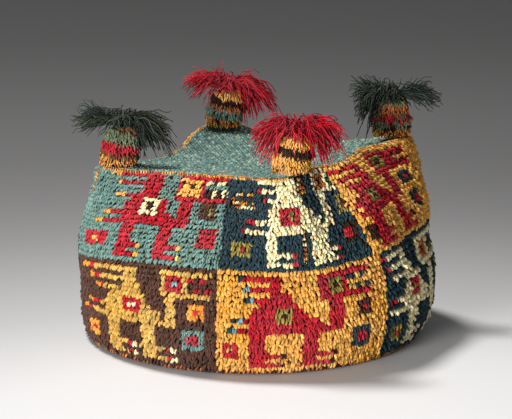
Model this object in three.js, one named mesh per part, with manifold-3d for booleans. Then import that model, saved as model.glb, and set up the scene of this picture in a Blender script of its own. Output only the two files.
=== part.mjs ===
// A four-cornered hat of knotted pile cloth, standing on its rim. Millimetres, +Z up.
// The origin is the middle of the rim's opening, on the surface that the hat stands on.
// Azimuths are degrees seen from above: 0 is the front face at -Y, 90 the right face at +X.
// The four corners are at 45, 135, 225 and 315 degrees, and each carries a peak with a tassel.

import * as THREE from "three";
import { mergeVertices } from "three/addons/utils/BufferGeometryUtils.js";
import Module from "manifold-3d";

const wasm = await Module();
wasm.setup();

// Driving dimensions
const BODY_RADIUS = 79;
const WALL_TALL = 82;
const WALL_THICK = 3.4;
const RIM_TALL = 1.8;
const RIM_WIDE = 4.2;
const CROWN_THICK = 2.6;
const CROWN_SAG = 4;
const PEAK_RADIUS = 8.6;
const PEAK_TALL = 16.5;
const PEAK_BEND = 0.3;
const PEAK_INSET = 9.4;
const HEAD_RADIUS = 4.6;
const HEAD_TALL = 3.6;
const THREAD_LONG = 32;
const LOCK_WIDE = 9.5;
const LOCK_THICK = 3.6;
const SEAM_RADIUS = 0.95;
const GAP = 0.3;

// How finely the curved faces are cut
const AROUND = 64;
const WALL_LEVELS = 12;
const EDGE_STEPS = 3;
const CROWN_RINGS = 5;
const PEAK_SIDES = 14;
const LOCK_COUNT = 9;
const LOCK_STEPS = 5;
const LOCK_SIDES = 5;
const SEAM_STEPS = 16;
const SEAM_SIDES = 6;
const DIFFERENCE = 1e-3;

// The wall's outline at each level. level is a share of the wall's height, face and corner are
// the distances from the axis at the middle of a face and at a corner as shares of BODY_RADIUS,
// point is how sharply a corner stands out, and lean is a share of BODY_RADIUS towards LEAN_AZIMUTH.
const LEAN_AZIMUTH = 301;
const SECTIONS = [
  { level: 0.0, face: 0.945, corner: 0.95, point: 1.0, lean: 0.02 },
  { level: 0.08, face: 0.985, corner: 0.99, point: 1.0, lean: 0.0 },
  { level: 0.2, face: 1.0, corner: 1.005, point: 1.0, lean: -0.01 },
  { level: 0.35, face: 1.0, corner: 1.01, point: 1.0, lean: -0.01 },
  { level: 0.5, face: 0.97, corner: 1.0, point: 1.1, lean: 0.01 },
  { level: 0.65, face: 0.91, corner: 0.985, point: 1.2, lean: 0.01 },
  { level: 0.8, face: 0.81, corner: 0.965, point: 1.4, lean: 0.0 },
  { level: 0.92, face: 0.71, corner: 0.94, point: 1.8, lean: 0.0 },
  { level: 1.0, face: 0.635, corner: 0.925, point: 2.2, lean: 0.0 },
];

// The height of the wall's top edge round the hat, as a share of WALL_TALL. It hangs between the
// corners, and lowest on the left.
const EDGE_RISES = [
  { azimuth: 0, rise: 0.99 },
  { azimuth: 25, rise: 1.01 },
  { azimuth: 45, rise: 1.04 },
  { azimuth: 68, rise: 1.06 },
  { azimuth: 90, rise: 1.07 },
  { azimuth: 112, rise: 1.06 },
  { azimuth: 135, rise: 1.045 },
  { azimuth: 157, rise: 0.98 },
  { azimuth: 180, rise: 0.96 },
  { azimuth: 205, rise: 0.95 },
  { azimuth: 225, rise: 0.99 },
  { azimuth: 243, rise: 0.95 },
  { azimuth: 270, rise: 0.915 },
  { azimuth: 297, rise: 0.93 },
  { azimuth: 315, rise: 0.97 },
  { azimuth: 335, rise: 0.98 },
];

// Dents and swellings of the slumped cloth. azimuth and level place one, wide is its reach in
// degrees, tall its reach as a share of the wall's height, and depth a share of BODY_RADIUS, inwards.
const DENTS = [
  { azimuth: 55, level: 0.98, wide: 9, tall: 0.17, depth: 0.1 },
  { azimuth: 61, level: 0.77, wide: 9, tall: 0.15, depth: 0.07 },
  { azimuth: 67, level: 0.6, wide: 9, tall: 0.12, depth: 0.04 },
  { azimuth: 75, level: 0.86, wide: 14, tall: 0.3, depth: -0.08 },
  { azimuth: 122, level: 0.63, wide: 24, tall: 0.09, depth: -0.03 },
  { azimuth: 98, level: 0.54, wide: 38, tall: 0.06, depth: 0.025 },
  { azimuth: 2, level: 0.88, wide: 26, tall: 0.2, depth: 0.02 },
  { azimuth: 30, level: 0.62, wide: 11, tall: 0.25, depth: 0.014 },
  { azimuth: 187, level: 0.9, wide: 24, tall: 0.24, depth: 0.045 },
  { azimuth: 270, level: 0.92, wide: 28, tall: 0.26, depth: 0.03 },
  { azimuth: 318, level: 0.28, wide: 22, tall: 0.07, depth: 0.012 },
];

// The ringed profile of a peak, from its foot up: radius as a share of PEAK_RADIUS and height
// as a share of PEAK_TALL.
const PEAK_PROFILE = [
  { radius: 1.04, height: 0.0 },
  { radius: 1.08, height: 0.09 },
  { radius: 0.98, height: 0.2 },
  { radius: 1.07, height: 0.32 },
  { radius: 1.08, height: 0.45 },
  { radius: 0.95, height: 0.54 },
  { radius: 0.98, height: 0.66 },
  { radius: 0.93, height: 0.78 },
  { radius: 0.86, height: 0.9 },
  { radius: 0.62, height: 1.0 },
];

// The tassels' two main bunches lie towards LEFT_AZIMUTH and the opposite way. reach and drop
// are shares of THREAD_LONG, and drop is below the top of the peak. tip is how far a peak leans
// away from LEFT_AZIMUTH, in degrees.
const LEFT_AZIMUTH = 301;
const SIDE_REACH = 0.5;
const SIDE_DROP = 0.34;
const ARCH = 0.3;
const CORNERS = [
  { name: "front_right", azimuth: 45, tip: 9, left: { reach: 0.58, drop: 0.3 }, right: { reach: 0.72, drop: 0.3 } },
  { name: "back_right", azimuth: 135, tip: -2, left: { reach: 0.54, drop: 0.3 }, right: { reach: 0.78, drop: 0.16 } },
  { name: "back_left", azimuth: 225, tip: 9, left: { reach: 0.6, drop: 0.06 }, right: { reach: 0.72, drop: 0.26 } },
  { name: "front_left", azimuth: 315, tip: 9, left: { reach: 0.72, drop: -0.1 }, right: { reach: 0.68, drop: 0.34 } },
];

const UP = new THREE.Vector3(0, 0, 1);
const wallFoot = RIM_TALL + GAP;
const radians = THREE.MathUtils.degToRad;

// A point at a distance from the axis, at an azimuth and a height.
function polar(azimuth, radius, z) {
  const a = radians(azimuth);
  return new THREE.Vector3(Math.sin(a) * radius, -Math.cos(a) * radius, z);
}

// A smooth curve through the rows of a table, read at the share or azimuth at. A closed table
// goes round a full turn.
function tableValue(rows, key, column, at, turn = 0) {
  const count = rows.length;
  const keyAt = (i) => (turn ? rows[((i % count) + count) % count][key] + Math.floor(i / count) * turn : rows[i][key]);
  const valueAt = (i) =>
    turn ? rows[((i % count) + count) % count][column] : rows[Math.min(Math.max(i, 0), count - 1)][column];
  const x = turn ? ((at % turn) + turn) % turn : Math.min(Math.max(at, rows[0][key]), rows[count - 1][key]);
  let i = 0;
  while (i < (turn ? count - 1 : count - 2) && keyAt(i + 1) <= x) i += 1;
  const from = keyAt(i);
  const span = keyAt(i + 1) - from;
  const share = (x - from) / span;
  const slopeAt = (k) => {
    if (!turn && k === 0) return (valueAt(1) - valueAt(0)) / (keyAt(1) - keyAt(0));
    if (!turn && k === count - 1) return (valueAt(k) - valueAt(k - 1)) / (keyAt(k) - keyAt(k - 1));
    return (valueAt(k + 1) - valueAt(k - 1)) / (keyAt(k + 1) - keyAt(k - 1));
  };
  const s2 = share * share;
  const s3 = s2 * share;
  return (
    valueAt(i) * (2 * s3 - 3 * s2 + 1) +
    slopeAt(i) * span * (s3 - 2 * s2 + share) +
    valueAt(i + 1) * (3 * s2 - 2 * s3) +
    slopeAt(i + 1) * span * (s3 - s2)
  );
}

// The shorter way round from one azimuth to another, in degrees.
function turnBetween(from, to) {
  return ((((to - from) % 360) + 540) % 360) - 180;
}

// How deep the dents are at a place on the wall, as a share of BODY_RADIUS.
function dentDepth(azimuth, level) {
  let depth = 0;
  for (const dent of DENTS) {
    const across = turnBetween(dent.azimuth, azimuth) / dent.wide;
    const up = (level - dent.level) / dent.tall;
    depth += dent.depth * Math.exp(-across * across - up * up);
  }
  return depth;
}

function edgeHeight(azimuth) {
  return WALL_TALL * tableValue(EDGE_RISES, "azimuth", "rise", azimuth, 360);
}

// A point on the wall's outer face.
function wallPoint(azimuth, level) {
  const section = (column) => tableValue(SECTIONS, "level", column, level);
  const cornered = Math.pow((1 - Math.cos(radians(4 * azimuth))) / 2, section("point"));
  const share = section("face") + (section("corner") - section("face")) * cornered - dentDepth(azimuth, level);
  const z = wallFoot + (edgeHeight(azimuth) - wallFoot) * level;
  return polar(azimuth, BODY_RADIUS * share, z).add(polar(LEAN_AZIMUTH, BODY_RADIUS * section("lean"), 0));
}

// The outward normal and the upward direction of the wall at a place.
function wallFrame(azimuth, level) {
  const low = Math.max(level - DIFFERENCE, 0);
  const high = Math.min(level + DIFFERENCE, 1);
  const along = wallPoint(azimuth + 1, level).sub(wallPoint(azimuth - 1, level));
  const upward = wallPoint(azimuth, high).sub(wallPoint(azimuth, low)).normalize();
  return { normal: along.cross(upward).normalize(), upward };
}

// A closed mesh through rings of points. Rings that close on themselves, as a wall's section
// does, join the last ring to the first, and otherwise both ends get a flat cap.
function loft(rings, closed) {
  const sides = rings[0].length;
  const points = rings.flat();
  const faces = [];
  const spans = closed ? rings.length : rings.length - 1;
  for (let i = 0; i < spans; i += 1) {
    const a = i * sides;
    const b = ((i + 1) % rings.length) * sides;
    for (let j = 0; j < sides; j += 1) {
      const k = (j + 1) % sides;
      faces.push([a + j, a + k, b + k], [a + j, b + k, b + j]);
    }
  }
  if (!closed) {
    for (const [ring, start] of [[rings[0], 0], [rings[rings.length - 1], (rings.length - 1) * sides]]) {
      const middle = ring.reduce((sum, p) => sum.add(p), new THREE.Vector3()).divideScalar(sides);
      points.push(middle);
      for (let j = 0; j < sides; j += 1) {
        const k = (j + 1) % sides;
        faces.push(start === 0 ? [points.length - 1, k, j] : [points.length - 1, start + j, start + k]);
      }
    }
  }
  const geometry = new THREE.BufferGeometry().setFromPoints(points);
  geometry.setIndex(faces.flat());
  return facingOut(geometry);
}

// The same geometry with its faces turned out, whichever way its rings went round.
function facingOut(geometry) {
  const p = geometry.getAttribute("position");
  const index = geometry.getIndex();
  const corner = (i) => new THREE.Vector3().fromBufferAttribute(p, index.getX(i));
  let volume = 0;
  for (let i = 0; i < index.count; i += 3) volume += corner(i).dot(corner(i + 1).cross(corner(i + 2)));
  if (volume < 0) {
    for (let i = 0; i < index.count; i += 3) {
      const first = index.getX(i);
      index.setX(i, index.getX(i + 1));
      index.setX(i + 1, first);
    }
  }
  geometry.computeVertexNormals();
  return geometry;
}

// The knotted cloth wall: its outer face, a rounded top edge, its inner face and a flat foot.
function wallGeometry() {
  const rings = [];
  const ringAt = (makePoint) => {
    rings.push(Array.from({ length: AROUND }, (_, i) => makePoint((360 * i) / AROUND)));
  };
  const levels = Array.from({ length: WALL_LEVELS + 1 }, (_, i) => i / WALL_LEVELS);
  for (const level of levels) ringAt((azimuth) => wallPoint(azimuth, level));
  for (let i = 1; i < EDGE_STEPS; i += 1) {
    const turn = (Math.PI * i) / EDGE_STEPS;
    ringAt((azimuth) => {
      const { normal, upward } = wallFrame(azimuth, 1);
      const half = WALL_THICK / 2;
      return wallPoint(azimuth, 1)
        .addScaledVector(normal, -half * (1 - Math.cos(turn)))
        .addScaledVector(upward, (half / 2) * Math.sin(turn));
    });
  }
  for (const level of levels.reverse()) {
    ringAt((azimuth) => {
      const outer = wallPoint(azimuth, level);
      const inner = outer.clone().addScaledVector(wallFrame(azimuth, level).normal, -WALL_THICK);
      if (level === 0) inner.z = outer.z;
      return inner;
    });
  }
  return loft(rings, true);
}

// The flat-footed edge of the ground cloth that the hat stands on.
function rimGeometry() {
  const foot = (azimuth) => wallPoint(azimuth, 0).setZ(0);
  const out = (azimuth) => wallFrame(azimuth, 0).normal.setZ(0).normalize();
  const outside = (RIM_WIDE - WALL_THICK) / 2;
  const section = [
    { across: outside - RIM_TALL / 3, z: 0 },
    { across: outside, z: RIM_TALL / 2 },
    { across: outside - RIM_TALL / 3, z: RIM_TALL },
    { across: outside - RIM_WIDE + RIM_TALL / 3, z: RIM_TALL },
    { across: outside - RIM_WIDE, z: RIM_TALL / 2 },
    { across: outside - RIM_WIDE + RIM_TALL / 3, z: 0 },
  ];
  const rings = section.map(({ across, z }) =>
    Array.from({ length: AROUND }, (_, i) => {
      const azimuth = (360 * i) / AROUND;
      return foot(azimuth).addScaledVector(out(azimuth), across).setZ(z);
    }),
  );
  return loft(rings, true);
}

// A point on the crown's upper face, at a share of the way from its middle to its edge.
function crownPoint(azimuth, share) {
  const { upward } = wallFrame(azimuth, 1);
  const edge = wallPoint(azimuth, 1).addScaledVector(upward, GAP + WALL_THICK / 4);
  const middleHeight = crownMiddleHeight();
  const z = middleHeight + (edge.z - middleHeight) * share * share;
  return new THREE.Vector3(edge.x * share, edge.y * share, z);
}

function crownMiddleHeight() {
  const mean = EDGE_RISES.reduce((sum, row) => sum + row.rise, 0) / EDGE_RISES.length;
  return WALL_TALL * mean - CROWN_SAG;
}

// The plain top panel, which sags between the four corners. Its edge butts against the wall's.
function crownGeometry() {
  const rings = [];
  const round = (makePoint) => Array.from({ length: AROUND }, (_, i) => makePoint((360 * i) / AROUND));
  for (let i = 1; i <= CROWN_RINGS; i += 1) {
    const share = i / CROWN_RINGS;
    rings.push(round((azimuth) => crownPoint(azimuth, share)));
  }
  for (let i = CROWN_RINGS; i >= 1; i -= 1) {
    const share = i / CROWN_RINGS;
    rings.push(
      round((azimuth) => {
        const { normal, upward } = wallFrame(azimuth, 1);
        const below = wallPoint(azimuth, 1)
          .addScaledVector(upward, GAP + WALL_THICK / 4)
          .addScaledVector(normal, -CROWN_THICK);
        const flat = crownPoint(azimuth, share).addScaledVector(UP, -CROWN_THICK);
        const atEdge = Math.pow(share, 6);
        return new THREE.Vector3(
          below.x * share * atEdge + flat.x * (1 - atEdge),
          below.y * share * atEdge + flat.y * (1 - atEdge),
          below.z * atEdge + flat.z * (1 - atEdge),
        );
      }),
    );
  }
  return loft(rings, false);
}

// The height of the cloth of crown and wall under a point.
function clothHeight(point) {
  const azimuth = THREE.MathUtils.radToDeg(Math.atan2(point.x, -point.y));
  const edge = crownPoint(azimuth, 1);
  const share = Math.min(Math.hypot(point.x, point.y) / Math.hypot(edge.x, edge.y), 1);
  return crownPoint(azimuth, share).z;
}

// The middle of a peak's foot, a gap above the highest cloth that is under its edge.
function peakFoot(azimuth) {
  const middle = wallPoint(azimuth, 1).setZ(0);
  middle.setLength(middle.length() - PEAK_INSET);
  const under = Array.from({ length: PEAK_SIDES * 2 }, (_, i) =>
    clothHeight(polar((180 * i) / PEAK_SIDES, PEAK_RADIUS * PEAK_PROFILE[0].radius, 0).add(middle)),
  );
  return middle.setZ(Math.max(...under) + GAP);
}

// How a peak leans at a share of its height, in radians: its foot is flat, and the rest tips over.
function peakLean(corner, height) {
  return radians(corner.tip) * Math.min(height / PEAK_BEND, 1);
}

// The middle of a peak at a share of its height, above its foot.
function peakMiddle(corner, height) {
  const lean = peakLean(corner, height);
  return polar(LEFT_AZIMUTH + 180, height * PEAK_TALL * Math.tan(lean), height * PEAK_TALL);
}

// A stuffed and ringed peak of pile cloth.
function peakGeometry(corner) {
  const hinge = polar(LEFT_AZIMUTH + 90, 1, 0);
  const rings = PEAK_PROFILE.map(({ radius, height }) =>
    Array.from({ length: PEAK_SIDES }, (_, i) =>
      polar((360 * i) / PEAK_SIDES, radius * PEAK_RADIUS, 0)
        .applyAxisAngle(hinge, peakLean(corner, height))
        .add(peakMiddle(corner, height)),
    ),
  );
  return loft(rings, false);
}

// The reach and drop of a tassel's threads towards an azimuth: its two bunches, and less between.
function threadSpread(corner, azimuth) {
  const facing = Math.cos(radians(azimuth - LEFT_AZIMUTH));
  const bunch = facing > 0 ? corner.left : corner.right;
  const share = facing * facing;
  return {
    reach: THREAD_LONG * (SIDE_REACH + (bunch.reach - SIDE_REACH) * share),
    drop: THREAD_LONG * (SIDE_DROP + (bunch.drop - SIDE_DROP) * share),
  };
}

// One lock of threads: it leaves the head, arches over and falls to its tip.
function lockGeometry(corner, azimuth) {
  const { reach, drop } = threadSpread(corner, azimuth);
  const arch = THREAD_LONG * ARCH;
  const path = new THREE.CubicBezierCurve3(
    polar(azimuth, 0, HEAD_TALL / 2),
    polar(azimuth, reach * 0.3, HEAD_TALL / 2 + arch),
    polar(azimuth, reach * 0.85, HEAD_TALL / 2 + arch - drop / 3),
    polar(azimuth, reach, -drop),
  );
  const across = polar(azimuth + 90, 1, 0);
  const rings = [];
  for (let i = 0; i <= LOCK_STEPS; i += 1) {
    const share = i / LOCK_STEPS;
    const middle = path.getPoint(share);
    const over = path.getTangent(share).cross(across).normalize();
    const wide = (LOCK_WIDE / 2) * (0.45 + 1.1 * share * (1.35 - share));
    const thick = (LOCK_THICK / 2) * (1.1 - 0.6 * share);
    rings.push(
      Array.from({ length: LOCK_SIDES }, (_, k) => {
        const turn = (2 * Math.PI * k) / LOCK_SIDES;
        return middle
          .clone()
          .addScaledVector(across, wide * Math.cos(turn))
          .addScaledVector(over, thick * Math.sin(turn));
      }),
    );
  }
  return loft(rings, false);
}

function solidOf(geometry) {
  const bare = geometry.index ? geometry.toNonIndexed() : geometry.clone();
  bare.deleteAttribute("normal");
  bare.deleteAttribute("uv");
  const merged = mergeVertices(bare, 1e-4);
  return new wasm.Manifold(
    new wasm.Mesh({
      numProp: 3,
      vertProperties: merged.attributes.position.array,
      triVerts: new Uint32Array(merged.index.array),
    }),
  );
}

function geometryOf(solid) {
  const mesh = solid.getMesh();
  const geometry = new THREE.BufferGeometry();
  geometry.setAttribute("position", new THREE.BufferAttribute(mesh.vertProperties, 3));
  geometry.setIndex(new THREE.BufferAttribute(mesh.triVerts, 1));
  geometry.computeVertexNormals();
  return geometry;
}

// A tassel: its bound head, fused with locks of threads all round.
function tasselGeometry(corner) {
  const head = new THREE.CylinderGeometry(HEAD_RADIUS * 0.8, HEAD_RADIUS, HEAD_TALL, LOCK_SIDES * 2)
    .rotateX(Math.PI / 2)
    .translate(0, 0, HEAD_TALL / 2);
  let tassel = solidOf(head);
  for (let i = 0; i < LOCK_COUNT; i += 1) {
    const azimuth = LEFT_AZIMUTH + (360 * i) / LOCK_COUNT;
    tassel = tassel.add(solidOf(lockGeometry(corner, azimuth)));
  }
  return geometryOf(tassel);
}

// The line of bright stitches over the joint of wall and crown, between two neighbouring peaks.
function seamGeometry(fromCorner) {
  const offset = SEAM_RADIUS + GAP;
  const clear = PEAK_RADIUS * 1.08 + SEAM_RADIUS + GAP;
  const place = (azimuth) => {
    const { normal } = wallFrame(azimuth, 1);
    const out = normal.add(UP).normalize();
    return wallPoint(azimuth, 1).addScaledVector(wallFrame(azimuth, 1).upward, WALL_THICK / 8).addScaledVector(out, offset);
  };
  const flatDistance = (azimuth, corner) => {
    const a = place(azimuth);
    const b = peakFoot(corner);
    return Math.hypot(a.x - b.x, a.y - b.y);
  };
  let start = fromCorner;
  let end = fromCorner + 90;
  while (flatDistance(start, fromCorner) < clear) start += 0.25;
  while (flatDistance(end, fromCorner + 90) < clear) end -= 0.25;
  const rings = [];
  for (let i = 0; i <= SEAM_STEPS; i += 1) {
    const azimuth = start + ((end - start) * i) / SEAM_STEPS;
    const middle = place(azimuth);
    const along = place(azimuth + 1).sub(place(azimuth - 1)).normalize();
    const side = along.clone().cross(UP).normalize();
    const over = side.clone().cross(along).normalize();
    rings.push(
      Array.from({ length: SEAM_SIDES }, (_, k) => {
        const turn = (2 * Math.PI * k) / SEAM_SIDES;
        return middle
          .clone()
          .addScaledVector(side, SEAM_RADIUS * Math.cos(turn))
          .addScaledVector(over, SEAM_RADIUS * Math.sin(turn));
      }),
    );
  }
  return loft(rings, false);
}

function yarn(colour) {
  return new THREE.MeshStandardMaterial({ color: colour, roughness: 0.95, metalness: 0 });
}

const pileYarn = yarn(0xb8823c);
const crownYarn = yarn(0x60766f);
const seamYarn = yarn(0xd9a050);
const rimYarn = yarn(0x8a5a34);
const peakYarn = yarn(0xc08a3e);
const redThread = yarn(0xa02430);
const greenThread = yarn(0x37443b);
const THREADS = { front_right: redThread, back_right: greenThread, back_left: redThread, front_left: greenThread };

const hat = new THREE.Group();

function addPiece(name, geometry, material) {
  const mesh = new THREE.Mesh(geometry, material);
  mesh.name = name;
  hat.add(mesh);
  return mesh;
}

addPiece("side_wall", wallGeometry(), pileYarn);
addPiece("rim_edge", rimGeometry(), rimYarn);
addPiece("crown_top", crownGeometry(), crownYarn);
for (const corner of CORNERS) {
  const foot = peakFoot(corner.azimuth);
  addPiece("peak_" + corner.name, peakGeometry(corner), peakYarn).position.copy(foot);
  const tassel = addPiece("tassel_" + corner.name, tasselGeometry(corner), THREADS[corner.name]);
  const topRadius = PEAK_RADIUS * PEAK_PROFILE[PEAK_PROFILE.length - 1].radius;
  const lift = GAP + topRadius * Math.abs(Math.sin(peakLean(corner, 1)));
  tassel.position.copy(foot).add(peakMiddle(corner, 1)).addScaledVector(UP, lift);
}
CORNERS.forEach((corner, i) => {
  const next = CORNERS[(i + 1) % CORNERS.length];
  addPiece("edge_seam_" + corner.name + "_to_" + next.name, seamGeometry(corner.azimuth), seamYarn);
});

export default hat;
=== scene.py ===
# A four-cornered hat of knotted pile cloth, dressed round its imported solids. Metres, +Z up.
# Azimuths are degrees seen from above: 0 is the front face at -Y, 90 the right face at +X.
import math

import bmesh
import bpy
import numpy as np
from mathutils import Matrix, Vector
from mathutils.bvhtree import BVHTree


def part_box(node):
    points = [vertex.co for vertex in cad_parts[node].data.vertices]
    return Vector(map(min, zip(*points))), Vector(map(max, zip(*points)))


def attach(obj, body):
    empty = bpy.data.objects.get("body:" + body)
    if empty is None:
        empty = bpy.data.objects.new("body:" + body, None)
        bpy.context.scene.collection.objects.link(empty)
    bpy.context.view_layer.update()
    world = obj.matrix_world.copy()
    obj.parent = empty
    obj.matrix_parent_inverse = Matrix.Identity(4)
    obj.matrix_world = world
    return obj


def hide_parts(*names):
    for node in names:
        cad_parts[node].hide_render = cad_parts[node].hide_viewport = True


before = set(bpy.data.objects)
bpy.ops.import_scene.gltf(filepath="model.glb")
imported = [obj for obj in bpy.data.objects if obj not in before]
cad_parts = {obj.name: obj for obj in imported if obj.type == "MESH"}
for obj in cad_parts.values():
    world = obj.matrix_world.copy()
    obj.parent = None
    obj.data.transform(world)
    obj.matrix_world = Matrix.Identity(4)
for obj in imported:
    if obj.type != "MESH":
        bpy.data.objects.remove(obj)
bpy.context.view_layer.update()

MM = 0.001

# The wall's outer face is read from its solid on a grid of azimuths and levels
AZIMUTH_STEP = 2.0
LEVELS = 56
RAY_START = 0.12
CLEAR_OF_AXIS = 0.03
EDGE_STEP = 0.3 * MM
MERGE_GAP = 0.001 * MM
FOOT_GAP = 0.05 * MM
FACE_SMOOTHING = 3
FRAME_TURN = 1.5
FRAME_DROP = 0.02

# The pile: knots in rows down the wall and columns round it
PANEL_ROWS = 20
PANEL_COLUMNS = 34
PLUMP_ENDS = 2
FINE_ENDS = 3
PILE_DEPTH = 1.0 * MM
FLOOR_CLEAR = 0.6 * MM
WALL_KNOT_WIDE = 2.1 * MM
SPARE_COLUMNS = 8
SPARE_ANGLE = 20
ROW_SAMPLES = 120

# The plain crown
STITCH_ROW = 1.35 * MM
STITCH_LONG = 2.1 * MM
HERRINGBONE = 30
CROWN_REACH = 80 * MM
CROWN_MARGIN = 1.6 * MM

# The stuffed peaks
PEAK_TALL = 16.5 * MM
PEAK_RADIUS = 9.3 * MM
PEAK_ROWS = 13
PEAK_KNOTS = 24
PEAK_SWELLS = 3
PEAK_SWELL = 0.8 * MM
SWELL_MIDDLE = 0.4
RING_SLANT = 0.09
RING_UNEVEN = 0.02
CHECK_KNOTS = 3
PEAK_SINK = 1.3 * MM
PEAK_GROUND_SINK = 2.3 * MM
PEAK_NECK = 1.5 * MM
PEAK_BELLY = 0.5 * MM
NECK_SHARE = 0.35
PEAK_RAY = 30 * MM

# The tassels. LEFT_AZIMUTH is the hat's left side, which most of the peaks lean away from.
HEAD_RADIUS = 3.6 * MM
HEAD_TALL = 3.6 * MM
THREAD_LONG = 32 * MM
THREAD_RADIUS = 0.27 * MM
THREADS = 470
THREAD_STEPS = 12
LEFT_AZIMUTH = 301

# Where each part's random draws start
SEEDS = {"threads": 20, "crown": 31, "peak": 40, "edge": 60, "rim": 81, "corner": 82, "pile": 100}

# Wool as it is dyed, in screen values
DYES = {
    "crimson": (188, 43, 55),
    "teal": (112, 145, 136),
    "dark_blue": (44, 66, 74),
    "cream": (255, 233, 182),
    "ochre": (238, 174, 84),
    "gold": (210, 166, 86),
    "brown": (88, 58, 46),
    "dark_brown": (58, 36, 26),
    "marigold": (236, 150, 52),
    "olive": (150, 134, 66),
    "sky": (138, 178, 184),
    "red_thread": (200, 18, 44),
    "green_thread": (52, 62, 50),
    "rust": (184, 106, 56),
    "ground": (120, 84, 54),
    "green": (112, 124, 96),
    "crown_teal": (114, 145, 135),
    "crown_deep": (84, 114, 112),
    "crown_pale": (160, 178, 158),
}

# One repeat of the pattern, charted knot by knot: rows run down the wall and columns round it.
# Full stops are the panel's ground, f its figure, and each other letter a small part of its own.
CHART = [
    "..................................",
    "...tiffffffff......ffffffffff.....",
    "...........ff......ffHHHfmnmn.....",
    "....tifffffff......ffHhHf.........",
    "...........fff.....ffHHHfnmnm.....",
    ".....tifffffff.....ffffffffff.....",
    "........fffffff......fff..........",
    ".......ffffEEEff.....fff...UUU....",
    "......fffffEeEfff....fff...UuU....",
    "...tiffffffEEEfffff..fff...UUU....",
    "......ffffffffffffff.fff..........",
    "..tiffffffffffffffffffff..........",
    "......fff.......fff.......RRRR....",
    "......fff.......fff.......RrrR....",
    ".LLL..fff.......fff.......RrrR....",
    ".LlL..fff.......fff.......RRRR....",
    ".LLL..fffffqo...fffffqo...........",
    "......fff.......fff...............",
    "......fffffqo...fffffqo...........",
    "..................................",
]

# The yarns of each kind of panel, by the chart's letters
COLOURWAYS = {
    "teal_panel": {
        ".": "teal", "f": "crimson", "t": "ochre", "i": "crimson", "q": "crimson", "o": "ochre",
        "H": "ochre", "h": "dark_brown", "m": "cream", "n": "dark_brown", "E": "cream", "e": "dark_brown",
        "U": "brown", "u": "olive", "R": "crimson", "r": "crimson", "L": "crimson", "l": "ochre",
    },
    "blue_panel": {
        ".": "dark_blue", "f": "cream", "t": "crimson", "i": "cream", "q": "cream", "o": "crimson",
        "H": "rust", "h": "dark_brown", "m": "olive", "n": "dark_blue", "E": "crimson", "e": "olive",
        "U": "olive", "u": "brown", "R": "dark_brown", "r": "crimson", "L": "olive", "l": "crimson",
    },
    "ochre_panel": {
        ".": "ochre", "f": "crimson", "t": "dark_blue", "i": "sky", "q": "crimson", "o": "dark_brown",
        "H": "olive", "h": "dark_brown", "m": "dark_blue", "n": "gold", "E": "olive", "e": "dark_brown",
        "U": "brown", "u": "crimson", "R": "dark_blue", "r": "crimson", "L": "crimson", "l": "gold",
    },
    "dark_eyed_panel": {
        ".": "ochre", "f": "crimson", "t": "crimson", "i": "crimson", "q": "crimson", "o": "dark_brown",
        "H": "olive", "h": "dark_brown", "m": "dark_brown", "n": "crimson", "E": "olive", "e": "dark_blue",
        "U": "dark_blue", "u": "crimson", "R": "dark_blue", "r": "crimson",
        "L": "dark_brown", "l": "dark_brown",
    },
    "brown_panel": {
        ".": "brown", "f": "gold", "t": "marigold", "i": "crimson", "q": "crimson", "o": "cream",
        "H": "crimson", "h": "sky", "m": "crimson", "n": "brown", "E": "crimson", "e": "cream",
        "U": "marigold", "u": "crimson", "R": "teal", "r": "crimson", "L": "marigold", "l": "crimson",
    },
}

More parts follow.
